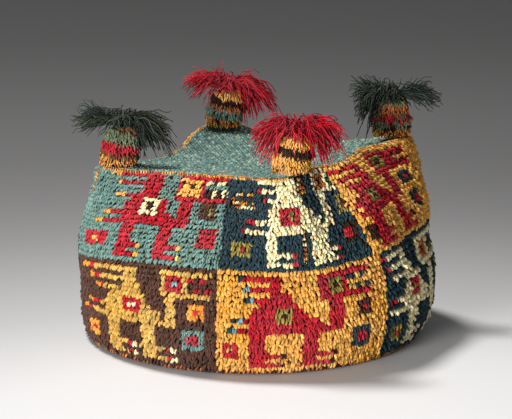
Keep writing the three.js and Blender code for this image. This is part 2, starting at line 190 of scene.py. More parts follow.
# How the knotters stretched the chart across a panel: pairs of a place in the panel's columns and
# the chart's column that falls there, for the rows of the figure's head, of its body and of its legs.
# rows tells which row of the chart each row of knots takes. Panels that aren't named here are even.
EVEN = [(0, 0), (34, 34)]
EVEN_ROWS = list(range(PANEL_ROWS))
EVEN_STRETCH = {"rows": EVEN_ROWS, "head": EVEN, "body": EVEN, "legs": EVEN}
STRETCHES = {
    "upper_front_left": {
        "rows": [1, 2, 3, 4, 4, 5, 7, 8, 8, 9, 10, 11, 12, 13, 14, 15, 16, 17, 18, 19],
        "head": [(0, 0), (4.2, 3), (7, 5), (8.6, 6), (13, 11), (16.8, 13), (21, 19), (22.4, 21), (27, 24),
                 (28.3, 25), (34, 29)],
        "body": [(0, 0), (5, 3), (10.2, 6), (14, 11), (18, 14), (23.5, 21), (26.5, 24), (28.3, 27),
                 (32, 30), (34, 31)],
        "legs": [(0.3, 1), (7.6, 4), (11.2, 6), (14, 9), (17, 13), (20.5, 16), (23, 19), (26, 23),
                 (29.4, 26), (33.2, 30)],
    },
    "upper_front_right": {
        "rows": [1, 2, 3, 4, 5, 6, 7, 8, 8, 9, 10, 11, 12, 13, 14, 15, 16, 17, 18, 19],
        "head": [(0, 0), (7.6, 3), (9.2, 5.2), (12.2, 11), (16.5, 13.5), (21.5, 19), (22.5, 21), (26, 25),
                 (34, 33)],
        "body": [(0, 0), (4.4, 2), (5.4, 3), (9.8, 6), (12.2, 11), (16.2, 14), (20, 18), (21.8, 21),
                 (24.5, 24), (25.8, 27), (28.5, 30), (34, 34)],
        "legs": [(0, 0), (2.5, 1), (6.3, 4), (9, 6), (11.5, 9), (15.2, 13), (18.3, 16), (22, 19),
                 (24.6, 23), (25.6, 26), (29, 30), (34, 34)],
    },
    "upper_right": {
        "rows": EVEN_ROWS,
        "head": [(0, 2), (1, 4), (6.5, 11), (8, 13), (13.5, 19), (15, 21), (19, 24), (22.3, 25), (26, 29),
                 (30, 34)],
        "body": [(0, 1), (1.4, 3.5), (4.6, 11), (7.6, 14), (15.5, 21), (18.5, 24), (20.4, 27), (23.6, 30),
                 (28, 34)],
        "legs": [(0, 0.4), (0.6, 1), (3.2, 4), (3.5, 6), (5.8, 9), (8.5, 13), (12, 16), (14.6, 19),
                 (18, 23), (20, 26), (23.5, 30), (28, 34)],
    },
    "lower_front_left": {
        "rows": EVEN_ROWS,
        "head": [(0, 0), (4.4, 3), (8.5, 5), (16.5, 11), (19.2, 13), (24, 19), (25, 21), (27.9, 24),
                 (28.8, 25), (32.6, 29), (34, 31)],
        "body": [(0, 1), (2.2, 2.4), (11.5, 6), (15.8, 11), (20, 14), (25, 21), (27.2, 24), (28.7, 27),
                 (32, 30), (34, 32)],
        "legs": [(0, 0), (4.8, 1), (9.5, 4), (12.4, 6), (15.2, 9), (19.4, 13), (20.4, 16), (22.9, 19),
                 (27, 23), (27.9, 26), (32, 30), (34, 31)],
    },
    "lower_front_right": {
        "rows": EVEN_ROWS,
        "head": [(0, 0), (3.6, 3), (5.8, 5.4), (10.5, 11), (12.5, 13), (19, 19), (21, 21), (24.2, 24),
                 (25.5, 25), (30.5, 29), (34, 33)],
        "body": EVEN,
        "legs": EVEN,
    },
    "lower_right": {
        "rows": EVEN_ROWS,
        "head": [(0, 2), (1, 4), (7, 12), (8.5, 13), (13.2, 19), (15.5, 21), (18, 24), (34, 34)],
        "body": [(0, 1), (1.4, 3), (5.5, 6), (8, 11), (11, 14), (16, 21), (19, 24), (34, 34)],
        "legs": [(0, 0), (2, 1), (5, 4), (6.8, 6), (9.8, 9), (14, 13), (34, 30)],
    },
}
# The chart's rows above HEAD_ROWS are the figure's head, and those from BODY_ROWS on are its legs
HEAD_ROWS = 6
BODY_ROWS = 12

# The twelve panels. left and right are the azimuths of the chart's sides at a panel's top and its foot.
# border is the panel's own pair of sides where that differs.
PANELS = [
    {"name": "upper_front_left", "band": "upper", "left": (-42, -42), "right": (19, 19),
     "border": ((-52, -52), (19, 19)), "yarns": "teal_panel", "slant": -12},
    {"name": "upper_front_right", "band": "upper", "left": (19, 19), "right": (77, 77),
     "border": ((19, 19), (61, 74)), "yarns": "blue_panel", "slant": -3},
    {"name": "upper_right", "band": "upper", "left": (61, 74), "right": (136, 136),
     "yarns": "dark_eyed_panel", "slant": 4},
    {"name": "upper_back_right", "band": "upper", "left": (136, 136), "right": (192, 192),
     "yarns": "brown_panel", "slant": 0},
    {"name": "upper_back_left", "band": "upper", "left": (192, 192), "right": (248, 248),
     "yarns": "ochre_panel", "slant": 0},
    {"name": "upper_left", "band": "upper", "left": (248, 248), "right": (308, 308),
     "yarns": "blue_panel", "slant": -6},
    {"name": "lower_front_left", "band": "lower", "left": (-48, -48), "right": (18.5, 18.5),
     "border": ((-58, -58), (18.5, 18.5)), "yarns": "brown_panel", "slant": -10},
    {"name": "lower_front_right", "band": "lower", "left": (18.5, 18.5), "right": (76.5, 76.5),
     "yarns": "ochre_panel", "slant": 2},
    {"name": "lower_right", "band": "lower", "left": (76.5, 76.5), "right": (136, 136),
     "yarns": "blue_panel", "slant": 4},
    {"name": "lower_back_right", "band": "lower", "left": (136, 136), "right": (190, 190),
     "yarns": "teal_panel", "slant": 0},
    {"name": "lower_back_left", "band": "lower", "left": (190, 190), "right": (246, 246),
     "yarns": "brown_panel", "slant": 0},
    {"name": "lower_left", "band": "lower", "left": (246, 246), "right": (302, 302),
     "yarns": "teal_panel", "slant": -6},
]

# The line between the two bands of panels, as azimuths and heights in millimetres.
BAND_LINE = [
    (-25, 44.0),
    (-4, 46.5),
    (19, 47.3),
    (47, 46.8),
    (60, 47.5),
    (72, 48.5),
    (94, 52.0),
    (121, 52.5),
    (180, 47.0),
    (240, 39.0),
    (301, 37.0),
    (315, 40.0),
    (335, 44.0),
]

# Places where the pile has worn down to the ground cloth, in a panel's own rows and columns.
WORN = [
    {"panel": "upper_front_right", "rows": (3, 6), "columns": (1, 6)},
    {"panel": "upper_front_right", "rows": (0, 3), "columns": (16, 18)},
    {"panel": "upper_front_right", "rows": (11, 18), "columns": (16, 16)},
]
WORN_YARNS = ["marigold", "dark_blue", "cream", "rust", "dark_blue", "ochre"]

# The peaks: the yarns of their rings of pile from the foot up, whether the rings slant, how many
# degrees the tip leans, the tassel's yarn and how far its threads reach. A ring of two yarns is checked,
# and a ring named speckle takes its yarns from SPECKLE.
PEAKS = {
    "front_right": {
        "rings": ["speckle", "ochre", "ochre", "ochre", "dark_brown", "dark_brown", "ochre", "ochre", "rust"],
        "slant": 1, "tip": 9, "thread": "red_thread", "reach": 0.9,
    },
    "back_right": {
        "rings": ["speckle", "speckle", "dark_brown/green", "green", "crimson", "crimson/green", "rust",
                  "rust", "green"],
        "slant": 0, "tip": -2, "thread": "green_thread", "reach": 0.86,
    },
    "back_left": {
        "rings": ["speckle", "speckle", "teal", "teal", "rust", "dark_brown", "dark_brown", "ochre",
                  "rust"],
        "slant": 1, "tip": 9, "thread": "red_thread", "reach": 0.92,
    },
    "front_left": {
        "rings": ["speckle", "speckle", "ground", "crimson", "crimson", "green", "green", "green",
                  "ground"],
        "slant": 1, "tip": 9, "thread": "green_thread", "reach": 0.96,
    },
}
SPECKLE = ["marigold", "dark_brown", "ochre", "rust", "gold", "rust"]
THREAD_SHADES = {"red_thread": 0.36, "green_thread": 0.6}

# The bunches that each tassel's threads fall in. turn is from LEFT_AZIMUTH and spread is in degrees;
# reach, drop and arch are shares of THREAD_LONG, and share weighs how many threads a bunch has.
BUNCH_COLUMNS = ("turn", "spread", "reach", "drop", "arch", "share")
BUNCHES = {
    "front_left": [
        (-8, 30, 0.7, -0.14, 0.04, 6),
        (14, 30, 0.74, -0.02, 0.1, 5),
        (182, 26, 0.66, 0.08, 0.12, 5),
        (168, 22, 0.74, 0.32, 0.2, 5),
        (146, 20, 0.5, 0.36, 0.2, 3),
        (80, 90, 0.28, -0.04, 0.12, 5),
        (270, 90, 0.4, 0.02, 0.16, 4),
    ],
    "front_right": [
        (-4, 30, 0.4, -0.12, 0.08, 3),
        (2, 26, 0.68, 0.14, 0.18, 5),
        (22, 20, 0.6, 0.34, 0.22, 4),
        (182, 26, 0.66, 0.04, 0.18, 5),
        (174, 20, 0.74, 0.28, 0.24, 6),
        (154, 20, 0.54, 0.4, 0.24, 4),
        (85, 80, 0.3, 0.12, 0.14, 5),
        (270, 80, 0.42, 0.1, 0.2, 3),
    ],
    "back_left": [
        (0, 22, 0.72, -0.06, 0.18, 6),
        (14, 20, 0.62, 0.12, 0.14, 3),
        (10, 90, 0.3, -0.12, 0.12, 5),
        (182, 26, 0.6, 0.12, 0.16, 6),
        (176, 20, 0.74, 0.3, 0.18, 6),
        (160, 20, 0.5, 0.4, 0.18, 4),
        (100, 40, 0.26, 0.16, 0.12, 3),
        (270, 70, 0.42, 0.1, 0.18, 3),
    ],
    "back_right": [
        (0, 26, 0.66, -0.14, 0.08, 5),
        (12, 24, 0.62, 0.12, 0.16, 5),
        (22, 20, 0.6, 0.34, 0.22, 5),
        (10, 90, 0.3, -0.06, 0.1, 5),
        (182, 20, 0.72, -0.08, 0.04, 6),
        (176, 16, 0.82, 0.08, 0.04, 6),
        (90, 60, 0.26, 0.1, 0.12, 4),
        (270, 70, 0.42, 0.1, 0.18, 3),
    ],
}

# The edge seams, each between two neighbouring corners.
EDGES = [
    ("front_right", "back_right"),
    ("back_right", "back_left"),
    ("back_left", "front_left"),
    ("front_left", "front_right"),
]
CORNER_AZIMUTHS = {"front_right": 45, "back_right": 135, "back_left": 225, "front_left": 315}


def linear(value):
    """The light that a screen value from 0 to 255 gives."""
    value = value / 255
    return value / 12.92 if value <= 0.04045 else ((value + 0.055) / 1.055) ** 2.4


def dyed(name):
    return np.array([linear(v) for v in DYES[name]])


def outward(azimuth):
    """The level direction away from the hat's middle at an azimuth."""
    a = np.radians(azimuth)
    return np.stack([np.sin(a), -np.cos(a), np.zeros_like(a)], axis=-1)


def put_in_scene(name, data):
    """A new object of a mesh, a light or a camera."""
    piece = bpy.data.objects.new(name, data)
    bpy.context.scene.collection.objects.link(piece)
    return piece


def solid_shape(node):
    """The solid of a CAD node as a bmesh in the row's frame, with its loose triangles merged."""
    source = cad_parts[node]
    shape = bmesh.new()
    shape.from_mesh(source.data)
    shape.transform(source.matrix_world)
    bmesh.ops.remove_doubles(shape, verts=shape.verts, dist=MERGE_GAP)
    return shape


def solid_tree(node):
    shape = solid_shape(node)
    tree = BVHTree.FromBMesh(shape)
    shape.free()
    return tree


def read_wall():
    """The outer face as a grid of points, from the top edge down to the foot at each azimuth."""
    tree = solid_tree("side_wall")
    low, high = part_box("side_wall")
    columns = []
    for azimuth in np.arange(0, 360, AZIMUTH_STEP):
        out = Vector(outward(float(azimuth)))

        def face_at(height):
            start = out * RAY_START + Vector((0, 0, height))
            return tree.ray_cast(start, -out, RAY_START - CLEAR_OF_AXIS)[0]

        top = high[2]
        while face_at(top) is None:
            top -= EDGE_STEP
        foot = low[2] + FOOT_GAP
        columns.append([face_at(height)[:] for height in np.linspace(top, foot, LEVELS)])
    wall = np.array(columns)
    for _ in range(FACE_SMOOTHING):
        wall = (np.roll(wall, 1, axis=0) + 2 * wall + np.roll(wall, -1, axis=0)) / 4
        inner = (wall[:, :-2] + 2 * wall[:, 1:-1] + wall[:, 2:]) / 4
        wall = np.concatenate([wall[:, :1], inner, wall[:, -1:]], axis=1)
    return wall


WALL = read_wall()


def wall_point(azimuth, down):
    """Points of the outer face. down goes from 0 at the top edge to 1 at the foot."""
    azimuth, down = np.broadcast_arrays(np.asarray(azimuth, float), np.asarray(down, float))
    across = np.mod(azimuth, 360) / AZIMUTH_STEP
    level = np.clip(down, 0, 1) * (LEVELS - 1)
    i = np.floor(across).astype(int)
    j = np.minimum(np.floor(level).astype(int), LEVELS - 2)
    u = (across - i)[..., None]
    v = (level - j)[..., None]
    i = i % len(WALL)
    k = (i + 1) % len(WALL)
    upper = WALL[i, j] * (1 - u) + WALL[k, j] * u
    lower = WALL[i, j + 1] * (1 - u) + WALL[k, j + 1] * u
    return upper * (1 - v) + lower * v


def unit(vectors):
    return vectors / np.maximum(np.linalg.norm(vectors, axis=-1, keepdims=True), 1e-12)


def wall_frame(azimuth, down):
    """The directions across, out and down at places on the wall."""
    along = wall_point(azimuth + FRAME_TURN, down) - wall_point(azimuth - FRAME_TURN, down)
    lower = wall_point(azimuth, np.minimum(down + FRAME_DROP, 1))
    upper = wall_point(azimuth, np.maximum(down - FRAME_DROP, 0))
    below = unit(lower - upper)
    out = unit(np.cross(lower - upper, along))
    return unit(np.cross(out, below)), out, below


def lengths_along(points):
    """How far along a line each of its points is."""
    steps = np.linalg.norm(np.diff(points, axis=0), axis=1)
    return np.concatenate([[0], np.cumsum(steps)])


def band_rows():
    """For each azimuth of the grid, how far down the wall each row of knots lies."""
    line_azimuth = [azimuth for azimuth, height in BAND_LINE]
    line_height = [height * MM for azimuth, height in BAND_LINE]
    rows = {"upper": [], "lower": []}
    shares = (np.arange(PANEL_ROWS) + 0.5) / PANEL_ROWS
    for i, column in enumerate(WALL):
        azimuth = i * AZIMUTH_STEP
        height = np.interp(azimuth, line_azimuth, line_height, period=360)
        along = lengths_along(column)
        downs = np.linspace(0, 1, LEVELS)
        split = np.interp(-height, -column[:, 2], along)
        rows["upper"].append(np.interp(shares * split, along, downs))
        rows["lower"].append(np.interp(split + shares * (along[-1] - split), along, downs))
    return {band: np.array(table) for band, table in rows.items()}


ROWS_DOWN = band_rows()


def row_down(band, row, azimuth):
    """How far down the wall a row of knots lies at an azimuth."""
    azimuths = np.arange(0, 360, AZIMUTH_STEP)
    return np.interp(azimuth, azimuths, ROWS_DOWN[band][:, row], period=360)


# Points of a tube this near each other are one; the tube is 1 in radius before it is bent
TUBE_GAP = 1e-4


def yarn_tube(sides, steps):
    """A closed straight tube of yarn for bending. Each point knows its place along it and round it."""
    shape = bmesh.new()
    along = shape.verts.layers.float.new("along")
    around = shape.verts.layers.float.new("around")
    ring = bmesh.ops.create_circle(shape, cap_ends=True, segments=sides, radius=1)["verts"]
    for vert in ring:
        vert[around] = (math.atan2(vert.co.y, vert.co.x) / math.tau) % 1
    face = shape.faces[:][0]
    base = bmesh.ops.duplicate(shape, geom=[face])["geom"]
    end = [item for item in base if isinstance(item, bmesh.types.BMFace)][0]
    for step in range(steps):
        grown = bmesh.ops.extrude_face_region(shape, geom=[end])["geom"]
        bmesh.ops.delete(shape, geom=[end], context="FACES_ONLY")
        end = [item for item in grown if isinstance(item, bmesh.types.BMFace)][0]
        bmesh.ops.translate(shape, verts=end.verts[:], vec=(0, 0, 1))
        for vert in end.verts:
            vert[along] = (step + 1) / steps
    bmesh.ops.remove_doubles(shape, verts=shape.verts, dist=TUBE_GAP)
    bmesh.ops.recalc_face_normals(shape, faces=shape.faces)
    shape.verts.index_update()
    tube = {
        "steps": steps,
        "ring": np.array([round(vert[along] * steps) for vert in shape.verts]),
        "turn": np.array([vert[around] for vert in shape.verts]),
        "faces": [[vert.index for vert in face.verts] for face in shape.faces],
        "uv": [],
    }
    for face in shape.faces:
        turns = [vert[around] for vert in face.verts]
        wraps = len(turns) == 4 and max(turns) - min(turns) > 0.5
        for vert, turn in zip(face.verts, turns):
            tube["uv"].append((turn + (1 if wraps and turn < 0.5 else 0), vert[along]))
    shape.free()
    return tube


def bent_yarns(name, tube, paths, across, radii, tints, painted_root_shade):
    """One mesh of many yarns: a copy of the tube bent along each path.

    paths holds a row of points for each yarn, across a direction, radii a radius for each point of
    it or of all yarns, tints a colour for each yarn and the last argument how light its start is:
    painted shade that darkens each yarn towards its root.
    """
    count = len(paths)
    tangent = unit(np.gradient(paths, axis=1))
    side = across[:, None, :] - tangent * np.sum(across[:, None, :] * tangent, axis=-1, keepdims=True)
    side = unit(side)
    over = np.cross(tangent, side)
    radii = np.broadcast_to(radii, paths.shape[:2])
    ring = tube["ring"]
    turn = tube["turn"] * math.tau
    bow = side[:, ring] * np.cos(turn)[None, :, None] + over[:, ring] * np.sin(turn)[None, :, None]
    points = paths[:, ring] + radii[:, ring, None] * bow
    starts = np.arange(count) * len(ring)
    faces = [[start + k for k in face] for start in starts.tolist() for face in tube["faces"]]
    mesh = bpy.data.meshes.new(name)
    mesh.from_pydata(points.reshape(-1, 3), [], faces)
    mesh.shade_smooth()
    # Painted shade: each yarn's colour darkens towards its root, as if shaded by the yarns round it
    shade = painted_root_shade + (1 - painted_root_shade) * np.sqrt(ring / tube["steps"])
    colours = np.ones((count, len(ring), 4))
    colours[..., :3] = np.clip(tints[:, None, :] * shade[None, :, None], 0, 1)
    tint_and_root_shade = mesh.attributes.new("tint_and_root_shade", "FLOAT_COLOR", "POINT")
    tint_and_root_shade.data.foreach_set("color", colours.ravel().astype(np.float32))
    ply = mesh.uv_layers.new(name="ply")
    ply.data.foreach_set("uv", np.tile(np.array(tube["uv"], np.float32).ravel(), count))
    return put_in_scene(name, mesh)


# The limits of a yarn's shade, and how many times less its warmth varies than its lightness
SHADE_LIMITS = (0.35, 2.3)
WARMTH_PART = 3
DARKEST = 0.002


def spread_tints(names, rng, spread=0.1):
    """A slightly different shade of its dye for each yarn."""
    base = np.array([dyed(name) for name in names])
    value = np.clip(rng.normal(1, spread, (len(base), 1)), *SHADE_LIMITS)
    warmth = rng.normal(0, spread / WARMTH_PART, (len(base), 1)) * np.array([[1, 0, -1]])
    return np.clip(base * value * (1 + warmth), DARKEST, 1)


def finish_piece(piece, material, slot, *nodes):
    """Give a piece its wool, the nodes that it takes the place of and its body. The slot is not used."""
    piece.data.materials.append(material)
    if nodes:
        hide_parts(*nodes)
    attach(piece, "root")
    return piece


# Materials

FUZZ_PER_METRE = 1500.0
FADE_PER_METRE = 45.0
NUB_FUZZ_PER_METRE = 1600.0
RELIEF_DEPTH = 0.25 * MM
WOOL_SPECULAR = 0.12
SHEEN_ROUGHNESS = 0.45
# How much rougher the fuzz makes the wool, and its least roughness
YARN_ROUGHNESS = (0.25, 0.72)
NUB_ROUGHNESS = (0.2, 0.78)
# How much less dyed the faded places are, how light the nubs' middles are against the painted shade at their
# edges, and how light their fuzz is
FADED_DYE = 0.7
NUB_PAINTED_SHADE = 0.8
NUB_FUZZ_LIGHT = 0.6


def add_node(tree, kind, links=(), **values):
    """A node with its settings, and links as (input name or number, output socket)."""
    node = tree.nodes.new(kind)
    for key, value in values.items():
        if key.startswith("in_"):
            node.inputs[key[3:].replace("_", " ")].default_value = value
        else:
            setattr(node, key, value)
    for socket, source in links:
        tree.links.new(source, node.inputs[socket])
    return node


def add_math(tree, operation, *terms):
    node = tree.nodes.new("ShaderNodeMath")
    node.operation = operation
    for i, term in enumerate(terms):
        if isinstance(term, (int, float)):
            node.inputs[i].default_value = term
        else:
            tree.links.new(term, node.inputs[i])
    return node.outputs[0]


def add_noise(tree, place, scale, detail):
    links = [("Vector", place.outputs["Object"])]
    return add_node(tree, "ShaderNodeTexNoise", links, in_Scale=scale, in_Detail=detail).outputs[0]


def wool_group(name, colours, amounts):
    """A group with its named inputs, that puts out a colour, a roughness and a height."""
    group = bpy.data.node_groups.new(name, "ShaderNodeTree")
    for inputs, kind in ((colours, "NodeSocketColor"), (amounts, "NodeSocketFloat")):
        for title, value in inputs.items():
            socket = group.interface.new_socket(name=title, in_out="INPUT", socket_type=kind)
            socket.default_value = value
    for title, kind in (("Colour", "Color"), ("Roughness", "Float"), ("Height", "Float")):
        group.interface.new_socket(name=title, in_out="OUTPUT", socket_type="NodeSocket" + kind)
    return group, group.nodes.new("NodeGroupInput"), group.nodes.new("NodeGroupOutput")


def twisted_yarn_group():
    """Plied wool: the twist's bands on the yarn's own map, darkened in their grooves as painted shade, and
    fuzz and fading over the whole hat.
    """
    group, start, end = wool_group(
        "twisted_yarn",
        {"Colour": (0.5, 0.5, 0.5, 1)},
        {"Twists": 3.0, "Twist shade": 0.3, "Fuzz": 0.3, "Fading": 0.2},
    )

    def swing(mask, middle, strength):
        """How far a mask is from its middle, times one of the group's inputs."""
        away = add_math(group, "SUBTRACT", mask, middle)
        return add_math(group, "MULTIPLY", away, start.outputs[strength])

    ply = add_node(group, "ShaderNodeUVMap", uv_map="ply")
    split = add_node(group, "ShaderNodeSeparateXYZ", [(0, ply.outputs[0])])
    climb = add_math(group, "MULTIPLY", split.outputs[1], start.outputs["Twists"])
    angle = add_math(group, "MULTIPLY", add_math(group, "ADD", climb, split.outputs[0]), 2 * math.tau)
    wave = add_math(group, "MULTIPLY_ADD", add_math(group, "SINE", angle), 0.5, 0.5)
    place = add_node(group, "ShaderNodeTexCoord")
    fuzz = add_noise(group, place, FUZZ_PER_METRE, 2.0)
    fade = add_noise(group, place, FADE_PER_METRE, 3.0)
    # Painted shade: the grooves between the twist's bands are darkened in the colour
    painted_twist_shade = swing(wave, 1, "Twist shade")
    fuzz_light = swing(fuzz, 0.5, "Fuzz")
    fade_light = swing(fade, 0.5, "Fading")
    total = add_math(group, "ADD", add_math(group, "ADD", painted_twist_shade, fuzz_light), fade_light)
    value = add_math(group, "ADD", total, 1)
    less_dyed = add_math(group, "SUBTRACT", 1, add_math(group, "MULTIPLY", fade_light, FADED_DYE))
    tone = add_node(
        group,
        "ShaderNodeHueSaturation",
        [("Color", start.outputs["Colour"]), ("Value", value), ("Saturation", less_dyed)],
    )
    group.links.new(tone.outputs[0], end.inputs["Colour"])
    group.links.new(add_math(group, "MULTIPLY_ADD", fuzz, *YARN_ROUGHNESS), end.inputs["Roughness"])
    group.links.new(add_math(group, "MULTIPLY_ADD", fuzz, 0.5, wave), end.inputs["Height"])
    return group


def nubby_cloth_group():
    """Ground cloth: rows of small nubs in two shades of its yarn, each nub painted darker towards its edge as
    shade in the creases between nubs.
    """
    group, start, end = wool_group(
        "nubby_cloth",
        {"Yarn": (0.2, 0.12, 0.06, 1), "Second yarn": (0.1, 0.06, 0.04, 1)},
        {"Nubs per metre": 480.0},
    )
    place = add_node(group, "ShaderNodeTexCoord")
    nubs = add_node(
        group,
        "ShaderNodeTexVoronoi",
        [("Vector", place.outputs["Object"]), ("Scale", start.outputs["Nubs per metre"])],
    )
    fuzz = add_noise(group, place, NUB_FUZZ_PER_METRE, 2.0)
    dome = add_math(group, "SUBTRACT", 1, nubs.outputs["Distance"])
    pick = add_node(group, "ShaderNodeSeparateColor", [(0, nubs.outputs["Color"])])
    mix = add_node(
        group,
        "ShaderNodeMix",
        [("Factor", pick.outputs[0]), (6, start.outputs["Yarn"]), (7, start.outputs["Second yarn"])],
        data_type="RGBA",
    )
    fuzz_light = add_math(group, "MULTIPLY", fuzz, NUB_FUZZ_LIGHT)
    # Painted shade: each nub is lighter at its middle and darker at its edge, where the creases between nubs
    # lie
    value = add_math(group, "MULTIPLY_ADD", dome, NUB_PAINTED_SHADE, fuzz_light)
    tone = add_node(group, "ShaderNodeHueSaturation", [("Color", mix.outputs[2]), ("Value", value)])
    group.links.new(tone.outputs[0], end.inputs["Colour"])
    group.links.new(add_math(group, "MULTIPLY_ADD", fuzz, *NUB_ROUGHNESS), end.inputs["Roughness"])
    group.links.new(add_math(group, "MULTIPLY_ADD", fuzz, 0.3, dome), end.inputs["Height"])
    return group


TWISTED_YARN = twisted_yarn_group()
NUBBY_CLOTH = nubby_cloth_group()


def bare_material(name):
    """A new material with an empty tree of nodes."""
    material = bpy.data.materials.new(name)
    material.use_nodes = True
    material.node_tree.nodes.clear()
    return material


def cloth_material(name, group, bump, sheen, **values):
    """A wool finish: colour, roughness and relief come from a shared group of nodes."""
    material = bare_material(name)
    tree = material.node_tree
    shared = add_node(tree, "ShaderNodeGroup", node_tree=group)
    for key, value in values.items():
        shared.inputs[key.replace("_", " ")].default_value = value
    if group == TWISTED_YARN:
        # The yarn's colour attribute: its dye with the painted shade at its root
        tint_and_root_shade = add_node(tree, "ShaderNodeAttribute", attribute_name="tint_and_root_shade")
        tree.links.new(tint_and_root_shade.outputs["Color"], shared.inputs["Colour"])
    relief = add_node(tree, "ShaderNodeBump", [("Height", shared.outputs["Height"])], in_Strength=bump)
    relief.inputs["Distance"].default_value = RELIEF_DEPTH
    wool = add_node(
        tree,
        "ShaderNodeBsdfPrincipled",
        [
            ("Base Color", shared.outputs["Colour"]),
            ("Roughness", shared.outputs["Roughness"]),
            ("Normal", relief.outputs[0]),
        ],
    )
    wool.inputs["Specular IOR Level"].default_value = WOOL_SPECULAR
    wool.inputs["Sheen Weight"].default_value = sheen
    wool.inputs["Sheen Roughness"].default_value = SHEEN_ROUGHNESS
    add_node(tree, "ShaderNodeOutputMaterial", [("Surface", wool.outputs[0])])
    return material


def yarn_wool(name, bump, sheen, **values):
    """The finish of loose yarn, coloured by each yarn's own dye and by the painted shade that darkens it
    towards its root.
    """
    return cloth_material(name, TWISTED_YARN, bump, sheen, **values)


def ground_wool(name, yarn, second_yarn, nubs):
    """The finish of a ground cloth, from two pairs of a dye and its share of light. Shares under one darken
    the dye, partly for the cloth's own tone and partly as painted shade of the deep gaps under the pile.
    """
    first, second = [(*(dyed(dye) * share), 1) for dye, share in (yarn, second_yarn)]
    return cloth_material(
        name, NUBBY_CLOTH, bump=0.8, sheen=0.0, Yarn=first, Second_yarn=second, Nubs_per_metre=nubs
    )


# Twist_shade sets how dark the painted shade in the grooves of each yarn's twist is
PILE_WOOL = yarn_wool("pile_wool", 0.5, 0.06, Twists=1.2, Twist_shade=0.22, Fuzz=0.35, Fading=0.3)
STITCH_WOOL = yarn_wool("stitch_wool", 0.5, 0.12, Twists=0.8, Twist_shade=0.25, Fuzz=0.3, Fading=0.3)
THREAD_WOOL = yarn_wool("thread_wool", 0.6, 0.08, Twists=14.0, Twist_shade=0.35, Fuzz=0.3, Fading=0.2)
# Shares under one are partly the ground cloths' own darker tone and partly painted shade of the gaps under
# the pile and stitches
WALL_GROUND = ground_wool("wall_ground", ("ground", 0.6), ("dark_brown", 1), 430.0)
PEAK_GROUND = ground_wool("peak_ground", ("rust", 0.7), ("ground", 1), 430.0)
CROWN_GROUND = ground_wool("crown_ground", ("teal", 0.9), ("crown_deep", 0.9), 600.0)
RIM_GROUND = ground_wool("rim_ground", ("rust", 0.5), ("dark_brown", 1), 520.0)


# Ground cloths: smoothed copies of the solids that carry the pile and the stitches

SIDEWAYS = 0.2


def ground_cloth(node, name, material, slot, sink=0.0, middle=(0, 0)):
    """A smooth copy of a solid. sink lowers its face away from middle, to leave room for the pile."""
    shape = solid_shape(node)
    bmesh.ops.recalc_face_normals(shape, faces=shape.faces)
    shape.normal_update()
    if sink:
        for vert in shape.verts:
            radial = Vector((vert.co.x - middle[0], vert.co.y - middle[1], 0)).normalized()
            if vert.normal.dot(radial) > SIDEWAYS:
                vert.co -= vert.normal * sink
    bmesh.ops.join_triangles(
        shape, faces=shape.faces, angle_face_threshold=math.pi, angle_shape_threshold=math.pi
    )
    mesh = bpy.data.meshes.new(name)
    shape.to_mesh(mesh)
    shape.free()
    mesh.shade_smooth()
    piece = put_in_scene(name, mesh)
    smoother = piece.modifiers.new("smoother", "SUBSURF")
    smoother.levels = 1
    smoother.render_levels = 1
    return finish_piece(piece, material, slot, node)


# The wall's pile

END_TUBE = yarn_tube(sides=4, steps=3)
END_OUT = np.array([-1.2, 0.1, 0.75, 0.8]) * MM
END_DOWN = np.array([-1.2, -0.8, 0.1, 1.15]) * MM
PLUMP_RADIUS = np.array([0.5, 0.66, 0.7, 0.5]) * MM
FINE_RADIUS = np.array([0.38, 0.46, 0.48, 0.34]) * MM
PLUMP_YARNS = ["cream", "ochre", "gold", "marigold"]

# How a yarn end strays: its lean in degrees, its length, its lift and its curl, in millimetres
# along its path, and how much more than that the wall's and the peaks' ends do.
END_LEAN = 9
END_LENGTHS = (0.86, 1.18)
END_STRAY = 0.2
LIFT_ALONG = np.array([[0, 0.5, 0.9, 1.2]])
CURL_ALONG = np.array([[0, 0.2, 0.8, 1.6]])
WALL_LOOSE = 1.9
PEAK_LOOSE = 1.5

# How a knot's ends stand in it, in shares of its width and in millimetres, and how worn ones lie
ENDS_WIDE = 0.98
ENDS_ASIDE = 0.14
ENDS_STAGGER = 0.26
END_THICKNESSES = (0.88, 1.12)
WORN_FLATNESS = 0.55
WORN_SINK = 0.55 * MM
WORN_THICKNESS = 0.75
PILE_SHADES = 0.2
# Painted shade: how light a pile end is at its root, darkened as if shaded by the ends round it
PILE_PAINTED_ROOT_SHADE = 0.6


def yarn_ends(places, across, out, down, slant, rng, loose, length=1.0):
    """Paths of the ends that stand on places, combed down and a little tangled."""
    count = len(places)
    lean = np.radians(slant + rng.normal(0, 1, count) * END_LEAN * loose)[:, None]
    hang = down * np.cos(lean) + across * np.sin(lean)
    longer = (length * rng.uniform(*END_LENGTHS, count))[:, None]
    higher = rng.normal(0, END_STRAY, (count, 1)) * loose
    curl = rng.normal(0, END_STRAY, (count, 1)) * loose * MM * CURL_ALONG
    outs = END_OUT[None] + higher * LIFT_ALONG * MM
    paths = (
        places[:, None]
        + out[:, None] * outs[..., None]
        + hang[:, None] * (END_DOWN[None] * longer)[..., None]
        + across[:, None] * curl[..., None]
    )
    paths[..., 2] = np.maximum(paths[..., 2], FLOOR_CLEAR)
    return paths


def between(pair, part):
    return pair[0] + (pair[1] - pair[0]) * part


